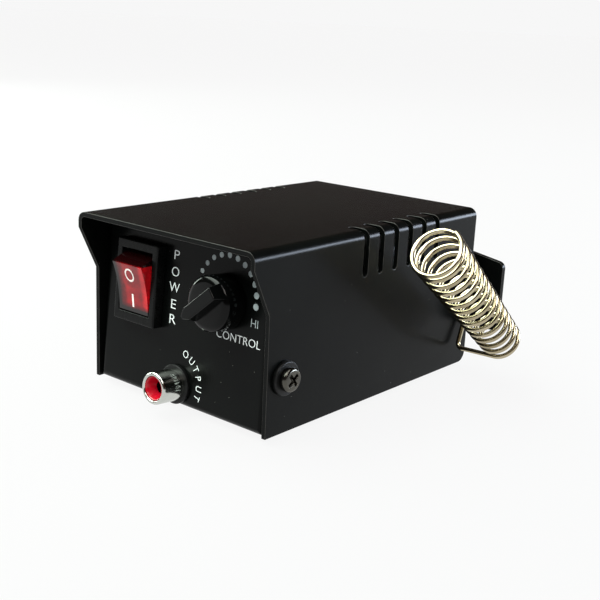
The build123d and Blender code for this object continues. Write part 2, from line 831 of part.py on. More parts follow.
def make_bracket():
    high = base_z + bracket_high
    outer_x = side_x + bracket_out
    fall = tan(radians(bracket_taper))
    corners = [
        (bracket_inner_x, rear_y, base_z + bracket_low),
        (outer_x, rear_y, base_z + bracket_low),
        (outer_x, rear_y, high - bracket_out * fall),
        (bracket_inner_x, rear_y, high + (side_x - bracket_inner_x) * fall),
    ]
    face = make_face(Polyline(*corners, close=True))
    plate = extrude(face, bracket_thickness, dir=(0, 1, 0))
    plate = fillet(plate.edges().filter_by(Axis.Y), bracket_corner)
    for x, up in bracket_screw_places():
        plate -= rear(rod(screw_radius + screw_clearance, -1, 5), x, up)
    points = leg_points()
    run = points[5] - points[4]
    slot_middle = rear_y + bracket_thickness / 2
    share = (slot_middle - points[4].Y) / run.Y
    middle = points[4] + run * share
    plate -= Pos(middle.X, middle.Y, middle.Z) * Box(rest_wire + 0.9, 4, rest_wire + 5.2)
    return plate


def make_bracket_fasteners():
    screws = []
    nuts = []
    inside = -sheet - bracket_nut_height
    seats = (bracket_thickness + rest_wire + 0.04, bracket_thickness)
    for (x, up), seat in zip(bracket_screw_places(), seats):
        length = seat - inside + 0.6
        screw = pan_screw(screw_radius, length, screw_head_radius, screw_head_height)
        screws.append(rear(Pos(0, 0, seat) * screw, x, up))
        nut = hexagon(bracket_nut_flats, inside, -sheet) - rod(screw_radius + 0.02, -20, 5)
        nuts.append(rear(nut, x, up))
    return group(screws), group(nuts)


# ---------------------------------------------------------------- assembly
def make_nodes():
    nodes = {"cover": make_cover(), "chassis": make_chassis(), "feet": make_feet()}
    screws, washers, nuts = make_cover_fasteners()
    nodes["cover_screws"] = screws
    nodes["cover_washers"] = washers
    nodes["cover_nuts"] = nuts

    nodes["switch_housing"] = make_switch_housing()
    rocker, plunger, lamp = make_rocker()
    nodes["switch_rocker"] = rocker
    nodes["switch_plunger"] = plunger
    nodes["switch_lamp"] = lamp
    lever, blades = make_contacts()
    nodes["contact_lever"] = lever
    nodes["switch_blades"] = blades

    moving, fixed = make_control()
    names = ("heat_knob", "control_shaft", "control_wiper")
    nodes.update(zip(names, moving))
    names = (
        "control_case",
        "control_bush",
        "control_washer",
        "control_nut",
        "control_track",
        "control_lugs",
    )
    nodes.update(zip(names, fixed))

    names = ("jack_collar", "jack_shell", "jack_insulator", "jack_contact", "jack_lug", "jack_nut")
    nodes.update(zip(names, make_jack()))

    names = (
        "transformer_core",
        "transformer_bobbin",
        "primary_winding",
        "secondary_winding",
        "transformer_strap",
        "transformer_screws",
    )
    nodes.update(zip(names, make_transformer()))
    nodes.update(make_board())
    nodes["cord_grommet"] = make_grommet()

    nodes["pen_rest_wire"] = make_rest()
    nodes["rest_bracket"] = make_bracket()
    screws, nuts = make_bracket_fasteners()
    nodes["bracket_screws"] = screws
    nodes["bracket_nuts"] = nuts
    return nodes


os.makedirs("parts", exist_ok=True)
for name, shape in make_nodes().items():
    export_step(shape, f"parts/{name}.step")
    print(name, round(shape.volume, 2))
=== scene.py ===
import bpy
from math import cos, radians, sin
from mathutils import Matrix, Vector


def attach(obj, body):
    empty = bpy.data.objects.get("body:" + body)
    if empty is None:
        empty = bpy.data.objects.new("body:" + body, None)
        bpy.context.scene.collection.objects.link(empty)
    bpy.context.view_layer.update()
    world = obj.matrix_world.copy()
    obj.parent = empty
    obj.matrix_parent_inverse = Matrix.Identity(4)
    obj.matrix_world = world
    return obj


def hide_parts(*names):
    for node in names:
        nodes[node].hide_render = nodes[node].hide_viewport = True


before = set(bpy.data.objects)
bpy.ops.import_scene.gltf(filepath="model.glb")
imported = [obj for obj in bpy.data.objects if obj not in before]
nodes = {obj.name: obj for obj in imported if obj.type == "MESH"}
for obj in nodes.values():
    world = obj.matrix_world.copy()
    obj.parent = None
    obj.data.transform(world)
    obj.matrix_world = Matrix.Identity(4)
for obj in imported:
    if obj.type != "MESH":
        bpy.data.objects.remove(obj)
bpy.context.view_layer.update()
mm = 0.001
bpy.ops.object.select_all(action="DESELECT")
print("frame loaded:", len(nodes), "parts")


def linearColour(hexText):  # an sRGB hex colour as linear red, green, blue, alpha
    channels = [int(hexText[i:i + 2], 16) / 255 for i in (1, 3, 5)]
    linear = [c / 12.92 if c <= 0.04045 else ((c + 0.055) / 1.055) ** 2.4 for c in channels]
    return (*linear, 1.0)


def addNode(tree, kind, settings=None, inputs=None, links=None):
    node = tree.nodes.new(kind)
    for name, value in (settings or {}).items():
        setattr(node, name, value)
    for name, value in (inputs or {}).items():
        node.inputs[name].default_value = value
    for name, source in (links or {}).items():
        tree.links.new(source, node.inputs[name])
    return node


def newMaterial(name, colour, roughness, metallic=0.0):
    material = bpy.data.materials.new(name)
    material.use_nodes = True
    shader = material.node_tree.nodes["Principled BSDF"]
    shader.inputs["Base Color"].default_value = linearColour(colour)
    shader.inputs["Roughness"].default_value = roughness
    shader.inputs["Metallic"].default_value = metallic
    return material, material.node_tree, shader


mixShare, mixFirst, mixSecond, mixResult = 0, 6, 7, 2  # the sockets of a Mix node that mixes colours

# the camera: its place and lens in mm, its turn in degrees
viewpoint = {
    "place": (176.0, -207.8, 95.6),
    "azimuth": 39.772,
    "elevation": 15.294,
    "roll": 2.74,
    "lens": 61.43,
    "sensor": 36,
    "nearest": 10,
}


def placeCamera():
    az, el, roll = (radians(viewpoint[k]) for k in ("azimuth", "elevation", "roll"))
    back = Vector((sin(az) * cos(el), -cos(az) * cos(el), sin(el)))
    right = Vector((cos(az), sin(az), 0))
    up = back.cross(right)
    across = right * cos(roll) + up * sin(roll)
    upwards = up * cos(roll) - right * sin(roll)
    place = Vector(viewpoint["place"]) * mm
    bpy.ops.object.camera_add()
    camera = bpy.context.object
    camera.name = "camera"
    camera.data.lens = viewpoint["lens"]
    camera.data.sensor_width = viewpoint["sensor"]
    camera.data.clip_start = viewpoint["nearest"] * mm
    turn = Matrix((across, upwards, back)).transposed()
    camera.matrix_world = Matrix.Translation(place) @ turn.to_4x4()
    bpy.context.scene.camera = camera


# the table and the lights: sizes and distances in metres, angles in degrees
studio = {
    "floorColour": "#242424",
    "floorRoughness": 0.9,
    "floorSpecular": 0.1,
    "floorLight": "#ffffff",
    "floorGlow": 0.9,
    "floorSize": 60.0,
    "sunStrength": 2.6,
    "sunAngle": 60,
    "sunTilt": (10, -8),
    "skyLow": "#f7f7f7",
    "skyHigh": "#31190e",
    "skyBand": (0.05, 0.08),  # how high the low sky ends and the high sky starts
    "strips": {  # name: way from the unit, distance, size, power, colour
        "strip behind right": ((0.60, 0.74, 0.22), 0.9, (0.6, 0.22), 11.0, "#e0edff"),
        "box overhead left": ((-0.44, -0.32, 0.78), 1.3, (1.5, 0.9), 42.0, "#f1fff4"),
        "box left": ((-0.96, 0.12, 0.27), 1.1, (0.8, 0.4), 12.0, "#f1fff4"),
        "box right": ((0.62, -0.60, 0.95), 1.2, (0.4, 0.4), 4.5, "#fff8f0"),
    },
}


def makeStudio():
    bpy.ops.mesh.primitive_plane_add(size=studio["floorSize"], location=(0, 0, 0))
    floor = bpy.context.object
    floor.name = "floor"
    # opal acrylic lit from below: an even pale glow that takes only a soft shadow
    opal, _, shader = newMaterial("opal light table", studio["floorColour"], studio["floorRoughness"])
    shader.inputs["Specular IOR Level"].default_value = studio["floorSpecular"]
    shader.inputs["Emission Color"].default_value = linearColour(studio["floorLight"])
    shader.inputs["Emission Strength"].default_value = studio["floorGlow"]
    floor.data.materials.append(opal)

    bpy.ops.object.light_add(type="SUN")
    sun = bpy.context.object
    sun.name = "wide softbox"
    sun.data.energy = studio["sunStrength"]
    sun.data.angle = radians(studio["sunAngle"])
    sun.rotation_euler = [radians(a) for a in (*studio["sunTilt"], 0)]

    for name, (way, distance, size, power, colour) in studio["strips"].items():
        bpy.ops.object.light_add(type="AREA", location=Vector(way).normalized() * distance)
        strip = bpy.context.object
        strip.name = name
        strip.data.shape = "RECTANGLE"
        strip.data.size, strip.data.size_y = size
        strip.data.energy = power
        strip.data.color = linearColour(colour)[:3]
        strip.rotation_euler = Vector(way).to_track_quat("Z", "Y").to_euler()
        strip.visible_camera = False

    world = bpy.data.worlds.new("studio")
    bpy.context.scene.world = world
    world.use_nodes = True
    tree = world.node_tree
    place = addNode(tree, "ShaderNodeTexCoord")
    parts = addNode(tree, "ShaderNodeSeparateXYZ", links={"Vector": place.outputs["Generated"]})
    start, end = studio["skyBand"]
    climb = addNode(
        tree, "ShaderNodeMapRange",
        inputs={"From Min": start, "From Max": end},
        links={"Value": parts.outputs["Z"]},
    )
    sky = addNode(
        tree, "ShaderNodeMix", {"data_type": "RGBA"},
        {mixFirst: linearColour(studio["skyLow"]), mixSecond: linearColour(studio["skyHigh"])},
        {mixShare: climb.outputs["Result"]},
    )
    tree.links.new(sky.outputs[mixResult], tree.nodes["Background"].inputs["Color"])
    bpy.context.scene.view_settings.view_transform = "Standard"


placeCamera()
makeStudio()
print("table, lights and camera ready")

# the patterns that the finishes share, with sizes in mm

noiseSpan = (0.3, 0.7)  # most of a noise texture's values lie between these


def mottle(tree, grain, low, high, detail=3.0):  # a number that drifts between low and high
    place = addNode(tree, "ShaderNodeTexCoord")
    noise = addNode(
        tree, "ShaderNodeTexNoise",
        inputs={"Scale": 1 / mm / grain, "Detail": detail},
        links={"Vector": place.outputs["Object"]},
    )
    start, end = noiseSpan
    spread = addNode(
        tree, "ShaderNodeMapRange",
        inputs={"From Min": start, "From Max": end, "To Min": low, "To Max": high},
        links={"Value": noise.outputs["Fac"]},
    )
    return spread.outputs["Result"]


def dust(tree, spacing, size, core):  # 1 on scattered specks, fading from a core to 0 at their edge
    place = addNode(tree, "ShaderNodeTexCoord")
    cells = addNode(
        tree, "ShaderNodeTexVoronoi",
        inputs={"Scale": 1 / mm / spacing, "Randomness": 1.0},
        links={"Vector": place.outputs["Object"]},
    )
    speck = addNode(
        tree, "ShaderNodeMapRange",
        inputs={"From Min": size / spacing, "From Max": core * size / spacing},
        links={"Value": cells.outputs["Distance"]},
    )
    return speck.outputs["Result"]


def coat(tree, shader, colour, gloss, height, depth):  # gives a shader its colour, gloss and relief
    relief = addNode(
        tree, "ShaderNodeBump",
        inputs={"Strength": 1.0, "Distance": depth * mm},
        links={"Height": height},
    )
    tree.links.new(colour, shader.inputs["Base Color"])
    if gloss:
        tree.links.new(gloss, shader.inputs["Roughness"])
    tree.links.new(relief.outputs["Normal"], shader.inputs["Normal"])


# the finishes

enamel = {  # grains, sizes and depths in mm
    "colour": "#050606",
    "paler": "#080a09",
    "cloudGrain": 14,
    "dust": "#63655d",
    "dustSpacing": 3.0,
    "dustSize": 0.12,
    "dustCore": 0.5,
    "specular": 0.085,
    "roughness": (0.235, 0.265),
    "glossGrain": 9,
    "peelGrain": 1.3,
    "peelDetail": 1.0,
    "peelDepth": 0.004,
    "edge": {
        "colour": "#14130f",
        # a paler grey along the edges: a painted highlight, with a mottle like handling wear
        "paleHighlightAndWear": "#3a3833",
        "roughness": 0.28,
        "specular": 0.38,
        "highlightAndWearGrain": 1.6,
        "highlightAndWearDetail": 4.0,
        "grain": 0.5,
        "grainDetail": 2.0,
        "depth": 0.004,
    },
}


def makeEnamel():  # stoved black enamel on steel: a deep gloss with a faint orange peel and settled dust
    low, high = enamel["roughness"]
    material, tree, shader = newMaterial("stoved black enamel", enamel["colour"], low)
    shader.inputs["Specular IOR Level"].default_value = enamel["specular"]
    cloud = addNode(
        tree, "ShaderNodeMix", {"data_type": "RGBA"},
        {mixFirst: linearColour(enamel["colour"]), mixSecond: linearColour(enamel["paler"])},
        {mixShare: mottle(tree, enamel["cloudGrain"], 0, 1)},
    )
    specks = dust(tree, enamel["dustSpacing"], enamel["dustSize"], enamel["dustCore"])
    dusty = addNode(
        tree, "ShaderNodeMix", {"data_type": "RGBA"},
        {mixSecond: linearColour(enamel["dust"])},
        {mixShare: specks, mixFirst: cloud.outputs[mixResult]},
    )
    gloss = mottle(tree, enamel["glossGrain"], low, high)
    peel = mottle(tree, enamel["peelGrain"], 0, 1, enamel["peelDetail"])
    coat(tree, shader, dusty.outputs[mixResult], gloss, peel, enamel["peelDepth"])
    return material


def makeEdgeEnamel():  # the same enamel drawn thin over a cut edge, where it shines; its paler grey is a painted highlight, with a mottle like handling wear
    edge = enamel["edge"]
    material, tree, shader = newMaterial("enamel thinned over an edge, with painted highlight", edge["colour"], edge["roughness"])
    shader.inputs["Specular IOR Level"].default_value = edge["specular"]
    # paints a highlight along the rounded edges, mottled like wear
    edgeHighlightAndWear = addNode(
        tree, "ShaderNodeMix", {"data_type": "RGBA"},
        {mixFirst: linearColour(enamel["colour"]), mixSecond: linearColour(edge["paleHighlightAndWear"])},
        {mixShare: mottle(tree, edge["highlightAndWearGrain"], 0, 1, edge["highlightAndWearDetail"])},
    )
    grain = mottle(tree, edge["grain"], 0, 1, edge["grainDetail"])
    coat(tree, shader, edgeHighlightAndWear.outputs[mixResult], None, grain, edge["depth"])
    return material


variation = {  # how a simple finish drifts, against its own grain and roughness
    "cloud": 5,
    "gloss": 3,
    "glossSpan": (0.8, 1.25),
    "detail": 2.0,
}


# grain and its depth in mm: the grain is drawn coarser than the real one, so that it shows
def makePlain(name, colour, paler, roughness, grain, depth, metallic=0.0, specular=0.5):
    material, tree, shader = newMaterial(name, colour, roughness, metallic)
    shader.inputs["Specular IOR Level"].default_value = specular
    cloud = addNode(
        tree, "ShaderNodeMix", {"data_type": "RGBA"},
        {mixFirst: linearColour(colour), mixSecond: linearColour(paler)},
        {mixShare: mottle(tree, grain * variation["cloud"], 0, 1)},
    )
    low, high = (roughness * share for share in variation["glossSpan"])
    gloss = mottle(tree, grain * variation["gloss"], low, high)
    height = mottle(tree, grain, 0, 1, variation["detail"])
    coat(tree, shader, cloud.outputs[mixResult], gloss, height, depth)
    return material


black = makeEnamel()
blackEdge = makeEdgeEnamel()
# moulded in a finely eroded tool: a soft satin black
nylon = makePlain("moulded black nylon", "#060707", "#0c0d0d", 0.3, 0.35, 0.006, specular=0.12)
# pressed in a polished mould: a near wet black with small sharp highlights
phenolic = makePlain("polished black phenolic", "#040505", "#060707", 0.12, 0.8, 0.003, specular=0.14)
# plated over turned metal: a mirror that stays a little warm
nickel = makePlain("bright nickel plate", "#bfc2bc", "#d6d9d3", 0.14, 1.2, 0.002, metallic=1.0)
# drawn, coiled and plated thinly: long glints with a straw tone in the shade
springWire = makePlain("nickelled spring wire", "#9b9074", "#c2b89e", 0.17, 1.6, 0.003, metallic=1.0)
# handled and tarnished: a grey-brown shine with dark recesses
darkNickel = makePlain("dulled nickel plate", "#454440", "#64625a", 0.22, 0.7, 0.003, metallic=1.0)
# a passivated plate: an even blue-grey sheen
zinc = makePlain("zinc plate", "#9a9ca0", "#b4b6b8", 0.35, 0.8, 0.003, metallic=1.0)
# rolled and stamped: a soft yellow shine
brass = makePlain("drawn brass", "#b08d4a", "#c9a862", 0.28, 0.8, 0.003, metallic=1.0)
# browned by heat and wear: a dark bronze deep in the socket
dullBrass = makePlain("dulled brass contact", "#3a2416", "#5a3a22", 0.35, 0.6, 0.004, metallic=1.0)
# punched from sheet: a matt black that shows almost no highlight
fibre = makePlain("black fibre", "#080909", "#111212", 0.4, 0.4, 0.01, specular=0.2)
# moulded and unpolished: a dull dark grey
rubber = makePlain("moulded rubber", "#101111", "#1b1c1c", 0.65, 0.5, 0.01, specular=0.3)
# moulded in one colour: a waxy, saturated red
redAcetal = makePlain("red acetal", "#a3071a", "#bd0f28", 0.2, 0.8, 0.003, specular=0.4)
# screened on and dried: a flat, slightly chalky white
ink = makePlain("white screen ink", "#d9e2e2", "#f4fafa", 0.5, 0.25, 0.004, specular=0.3)
# the same ink thinned with grey: dots and small words that stand back
greyInk = makePlain("grey screen ink", "#8b9799", "#a9b3b5", 0.5, 0.25, 0.004, specular=0.3)
# filled into the moulding: a clean white with a soft shine
whiteInlay = makePlain("white inlay", "#f2e9e4", "#fffaf5", 0.35, 0.5, 0.002)
# moulded without pigment: a milky off-white
nylonWhite = makePlain("natural nylon", "#d8d3c0", "#e6e2d2", 0.4, 0.6, 0.004)
# wound wire under its varnish: fine ridges in a warm red-brown
copper = makePlain("enamelled copper", "#9c4a22", "#b8642f", 0.3, 0.3, 0.03, metallic=1.0)
# stacked steel dipped in varnish: a dark grey with thin lines of shine
laminations = makePlain("varnished laminations", "#35353a", "#4a4a50", 0.4, 0.5, 0.01, metallic=0.8)
# pressed paper and resin: a flat tan
board = makePlain("paper phenolic board", "#7a5a2c", "#8c6a38", 0.5, 1.5, 0.004)
# moulded round the part: a matt charcoal
chip = makePlain("black moulding compound", "#17181a", "#202224", 0.6, 0.3, 0.008)
# a cast case: a smooth mustard yellow
capBox = makePlain("yellow film box", "#c39318", "#d4a52a", 0.3, 0.8, 0.004)
# dipped in lacquer: a dull beige with a rounded skin
resistorCoat = makePlain("lacquered resistor", "#a88a5c", "#bb9d6e", 0.4, 0.4, 0.01)
# moulded terminal body: a plain mid green
greenNylon = makePlain("green nylon", "#14632c", "#1b7637", 0.4, 0.5, 0.006)
# drawn through a die: a pale grey with a soft shine
aluminium = makePlain("extruded aluminium", "#a9abad", "#bfc1c3", 0.3, 0.5, 0.004, metallic=1.0)

rockerTintAndShading = {  # colours across the rocker and up it, each with where it lies, among them painted light and shade; all lengths in mm
    # darker towards the left edge; the reds inside it are the dye
    "left": (-19.0, "#171314"),
    "leftInside": (-17.2, "#7c0c12"),
    "middle": (-16.4, "#a80f16"),
    "rightInside": (-11.0, "#8e0d13"),
    # a painted highlight along the right edge
    "right": (-9.4, "#e0141f"),
    # darker towards the lower end
    "darkerLowerEnd": (24.9, 23.6, "#161112"),
    # painted shade over the top end wall
    "shadedEndWall": (35.25, 35.6, "#190304"),
    "base": "#a20c16",
    "ior": 1.585,
    "specular": 0.35,
    "roughness": 0.12,
    "cloud": ("#b8b8b8", "#ffffff"),
    "cloudGrain": 2.2,
    "flowGrain": 1.5,
    "flowDetail": 1.0,
    "flowDepth": 0.002,
}


def makeRedClear():  # clear red polycarbonate: darker towards its left edge, with a painted highlight along its right edge, darker towards its lower end and with painted shade over its top end wall
    material, tree, shader = newMaterial(
        "clear red polycarbonate", rockerTintAndShading["base"], rockerTintAndShading["roughness"],
    )
    shader.inputs["IOR"].default_value = rockerTintAndShading["ior"]
    shader.inputs["Specular IOR Level"].default_value = rockerTintAndShading["specular"]
    place = addNode(tree, "ShaderNodeTexCoord")
    parts = addNode(tree, "ShaderNodeSeparateXYZ", links={"Vector": place.outputs["Object"]})
    low = rockerTintAndShading["left"][0] * mm
    high = rockerTintAndShading["right"][0] * mm
    across = addNode(
        tree, "ShaderNodeMapRange",
        inputs={"From Min": low, "From Max": high},
        links={"Value": parts.outputs["X"]},
    )
    # the ramp across the rocker: the red dye, darker to the left, with a painted highlight on the right
    # edge
    ramp = addNode(tree, "ShaderNodeValToRGB", links={"Fac": across.outputs["Result"]})
    stops = ramp.color_ramp.elements
    names = ("left", "leftInside", "middle", "rightInside", "right")
    while len(stops) < len(names):
        stops.new(0.5)  # anywhere: each stop gets its place below
    for stop, name in zip(stops, names):
        where, colour = rockerTintAndShading[name]
        stop.position = (where * mm - low) / (high - low)
        stop.color = linearColour(colour)
    # shadow and light here are only the two ends of a random mottle of tone, not painted light or shade
    shadow, light = rockerTintAndShading["cloud"]
    cloud = addNode(
        tree, "ShaderNodeMix", {"data_type": "RGBA"},
        {mixFirst: linearColour(shadow), mixSecond: linearColour(light)},
        {mixShare: mottle(tree, rockerTintAndShading["cloudGrain"], 0, 1)},
    )
    shaded = addNode(
        tree, "ShaderNodeMix", {"data_type": "RGBA", "blend_type": "MULTIPLY"},
        {mixShare: 1.0},
        {mixFirst: ramp.outputs["Color"], mixSecond: cloud.outputs[mixResult]},
    )
    colour = shaded.outputs[mixResult]
    # darkens the lower end, then paints shade over the top end wall
    for name in ("darkerLowerEnd", "shadedEndWall"):
        start, end, shade = rockerTintAndShading[name]
        share = addNode(
            tree, "ShaderNodeMapRange",
            inputs={"From Min": start * mm, "From Max": end * mm},
            links={"Value": parts.outputs["Z"]},
        )
        ended = addNode(
            tree, "ShaderNodeMix", {"data_type": "RGBA"},
            {mixSecond: linearColour(shade)},
            {mixShare: share.outputs["Result"], mixFirst: colour},
        )
        colour = ended.outputs[mixResult]
    flow = mottle(tree, rockerTintAndShading["flowGrain"], 0, 1, rockerTintAndShading["flowDetail"])
    coat(tree, shader, colour, None, flow, rockerTintAndShading["flowDepth"])
    return material


redClear = makeRedClear()

finishes = {  # every CAD part's finish, also where a new piece stands for it
    "cover": black, "chassis": black, "rest_bracket": black,
    "feet": rubber, "cord_grommet": rubber,
    "cover_screws": darkNickel, "bracket_screws": darkNickel, "cover_washers": fibre, "cover_nuts": zinc,
    "switch_housing": nylon, "switch_rocker": redClear, "switch_plunger": nylonWhite,
    "switch_lamp": nylonWhite, "contact_lever": brass, "switch_blades": brass,
    "heat_knob": phenolic, "control_shaft": aluminium, "control_wiper": zinc, "control_case": zinc,
    "control_bush": brass, "control_washer": zinc, "control_nut": nickel, "control_track": board,
    "control_lugs": brass,
    "jack_collar": fibre, "jack_shell": nickel, "jack_insulator": redAcetal, "jack_contact": dullBrass,
    "jack_lug": brass, "jack_nut": nickel,
    "transformer_core": laminations, "transformer_bobbin": nylonWhite, "primary_winding": copper,
    "secondary_winding": copper, "transformer_strap": zinc, "transformer_screws": zinc,
    "circuit_board": board, "board_pillars": nylonWhite, "board_screws": zinc, "heat_sink": aluminium,
    "triac": chip, "capacitor": capBox, "fuse": nickel, "fuse_clips": brass, "resistors": resistorCoat,
    "terminal_block": greenNylon, "pen_rest_wire": springWire, "bracket_nuts": zinc,
}
for nodeName, finish in finishes.items():
    for holder in nodes[nodeName].material_slots:
        holder.material = finish
print("materials made:", len(bpy.data.materials))

# shared modelling steps


def onlySelect(piece):
    bpy.ops.object.select_all(action="DESELECT")
    piece.select_set(True)
    bpy.context.view_layer.objects.active = piece


def settle(piece, place):  # moves a piece to its place and bakes that into its mesh
    onlySelect(piece)
    piece.matrix_world = place
    bpy.ops.object.transform_apply(location=True, rotation=True, scale=True)


def applyModifier(piece, kind, **settings):
    onlySelect(piece)
    bpy.ops.object.modifier_add(type=kind)
    modifier = piece.modifiers[-1]
    for name, value in settings.items():
        setattr(modifier, name, value)
    bpy.ops.object.modifier_apply(modifier=modifier.name)


def finishPiece(piece, name, material, body, slotName, *standsFor):
    piece.name = name
    piece.data.name = name
    if len(piece.data.materials) == 2:  # a softened piece: its faces, then its rounded edges
        piece.data.materials[0] = material
        piece.data.materials[1] = blackEdge if material == black else material
    else:
        piece.data.materials.clear()
        piece.data.materials.append(material)
    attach(piece, body)
    if standsFor:
        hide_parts(*standsFor)
    return piece


def joinPieces(pieces):
    bpy.ops.object.select_all(action="DESELECT")
    for piece in pieces:
        piece.select_set(True)
    bpy.context.view_layer.objects.active = pieces[0]
    bpy.ops.object.join()
    return bpy.context.object


# the sloping front panel: its lower middle in mm and its lean in degrees
panel = {"foot": (0, -43.25, 1.6), "lean": 4.5}


def panelAxes():  # across the panel, up it, and straight out of it
    lean = radians(panel["lean"])
    return Vector((1, 0, 0)), Vector((0, sin(lean), cos(lean))), Vector((0, -cos(lean), sin(lean)))


def panelPlace(across, up, out):
    right, upwards, outwards = panelAxes()
    origin = Vector(panel["foot"]) + right * across + upwards * up + outwards * out
    turn = Matrix((right, upwards, outwards)).transposed()
    return Matrix.Translation(origin * mm) @ turn.to_4x4()


softening = {  # lengths in mm, angles in degrees
    "merge": 0.002,
    "flat": 0.6,  # faces that meet flatter than this become one
    "sharp": 30,
    "segments": 2,
    "smooth": 40,
}


def softenedCopy(nodeName, width):  # a CAD part with its sharp edges rounded off
    piece = bpy.data.objects.new(nodeName + "_soft", nodes[nodeName].data.copy())
    bpy.context.scene.collection.objects.link(piece)
    piece.data.materials.clear()
    piece.data.materials.append(None)
    piece.data.materials.append(None)
    onlySelect(piece)
    bpy.ops.object.mode_set(mode="EDIT")
    bpy.ops.mesh.select_all(action="SELECT")
    bpy.ops.mesh.remove_doubles(threshold=softening["merge"] * mm)
    bpy.ops.mesh.dissolve_limited(angle_limit=radians(softening["flat"]))
    bpy.ops.object.mode_set(mode="OBJECT")
    applyModifier(
        piece, "BEVEL", width=width * mm, segments=softening["segments"], limit_method="ANGLE",
        angle_limit=radians(softening["sharp"]), use_clamp_overlap=True, material=1,
    )
    bpy.ops.object.shade_smooth_by_angle(angle=radians(softening["smooth"]))
    applyModifier(piece, "WEIGHTED_NORMAL", keep_sharp=True)
    return piece


# the folded case

softened = {  # node: name of the piece, width of its rounded edges in mm, finish, body, slot
    "cover": ("coverSheet", 0.22, black, "unit", "case_paint"),
    "chassis": ("chassisSheet", 0.18, black, "unit", "case_paint"),
    "rest_bracket": ("bracketSheet", 0.25, black, "unit", "bracket_paint"),
    "switch_housing": ("switchFrame", 0.3, nylon, "unit", "switch_black"),
    "switch_rocker": ("rockerCap", 0.4, redClear, "rocker", "rocker_red"),
    "cover_screws": ("sideScrews", 0.12, darkNickel, "unit", "nickel"),
    "cover_washers": ("sideWashers", 0.14, fibre, "unit", "washer_black"),
    "bracket_screws": ("bracketScrews", 0.12, darkNickel, "unit", "nickel"),
    "jack_collar": ("jackCollar", 0.15, fibre, "unit", "washer_black"),
    "feet": ("rubberFeet", 0.3, rubber, "unit", "foot_rubber"),
    "cord_grommet": ("cordGrommet", 0.2, rubber, "unit", "grommet_rubber"),
}
for nodeName, (pieceName, width, finish, body, slotName) in softened.items():
    finishPiece(softenedCopy(nodeName, width), pieceName, finish, body, slotName, nodeName)
print("sheet metal and switch softened")

# the output jack

turnedSmooth = 50  # degrees


def turnedPiece(steps, vertices):  # steps along the profile: radius and height, in mm
    radius, height = steps[0]
    bpy.ops.mesh.primitive_circle_add(
        vertices=vertices, radius=radius * mm, fill_type="NGON", location=(0, 0, height * mm),
    )
    piece = bpy.context.object
    bpy.ops.object.transform_apply(location=True)
    bpy.ops.object.mode_set(mode="EDIT")
    bpy.ops.mesh.select_all(action="SELECT")
    for nextRadius, nextHeight in steps[1:]:
        bpy.ops.mesh.extrude_region_move(
            TRANSFORM_OT_translate={"value": (0, 0, (nextHeight - height) * mm)},
        )
        share = nextRadius / radius
        bpy.ops.transform.resize(value=(share, share, 1), center_override=(0, 0, nextHeight * mm))
        radius, height = nextRadius, nextHeight
    bpy.ops.mesh.select_all(action="SELECT")
    bpy.ops.mesh.normals_make_consistent(inside=False)
    bpy.ops.object.mode_set(mode="OBJECT")
    bpy.ops.object.shade_smooth_by_angle(angle=radians(turnedSmooth))
    return piece


jack = {  # places and profiles in mm
    "across": 0.0,
    "up": 5.5,
    "vertices": 72,
    "shell": (
        (3.0, -6.0), (3.0, 1.0), (4.05, 1.0), (4.05, 7.15), (4.0, 7.42), (3.86, 7.64), (3.65, 7.77),
        (3.42, 7.8), (3.22, 7.74), (3.09, 7.58), (3.05, 7.35), (3.05, 2.5),
    ),
    "funnel": (
        (2.18, -6.9), (2.18, 2.5), (3.03, 2.5), (3.03, 7.3), (2.98, 7.44), (2.86, 7.5), (2.72, 7.42),
        (2.6, 7.2), (1.68, 5.2), (1.6, 5.0), (1.66, 4.96), (1.95, 4.96), (1.95, 2.7),
    ),
}


def makeJack():
    place = panelPlace(jack["across"], jack["up"], 0)
    shell = turnedPiece(jack["shell"], jack["vertices"])
    settle(shell, place)
    finishPiece(shell, "jackBarrel", nickel, "unit", "nickel", "jack_shell")
    funnel = turnedPiece(jack["funnel"], jack["vertices"])
    settle(funnel, place)
    finishPiece(funnel, "jackFunnel", redAcetal, "unit", "jack_red", "jack_insulator")


makeJack()
print("output jack turned")

# the heat knob

knob = {  # places, profile and bar in mm
    "across": 14.6,
    "up": 29.6,
    "vertices": 96,
    "pointer": 220.0,  # where the bar's tip points at rest, in degrees
    "body": (
        (4.95, 4.1), (4.95, 0.5), (6.55, 0.5), (6.7, 0.65), (6.7, 5.6), (6.64, 5.87), (6.5, 6.12),
        (6.3, 6.33), (6.0, 6.54), (5.7, 6.7), (5.35, 6.83), (5.0, 6.9),
    ),
    "bar": {
        "heel": -6.4, "shoulder": 5.4, "tip": 7.7, "foot": 5.1, "top": 9.8, "width": 4.6,
        "tipShare": 0.3,  # width of the tip against the bar
        "topShare": (0.837, 0.68),  # length and width of the top against the foot
        "topCentre": -2.72, "edge": 0.3, "segments": 3, "sharp": 20, "smooth": 40,
    },
}

facing = 0.9  # a face looks along an axis when its normal has at least this share of it


def selectFaces(piece, test):  # leaves the piece in edit mode with the faces that pass selected
    bpy.ops.object.mode_set(mode="EDIT")
    bpy.ops.mesh.select_mode(type="FACE")
    bpy.ops.mesh.select_all(action="DESELECT")
    bpy.ops.object.mode_set(mode="OBJECT")
    for face in piece.data.polygons:
        face.select = test(face)
    bpy.ops.object.mode_set(mode="EDIT")


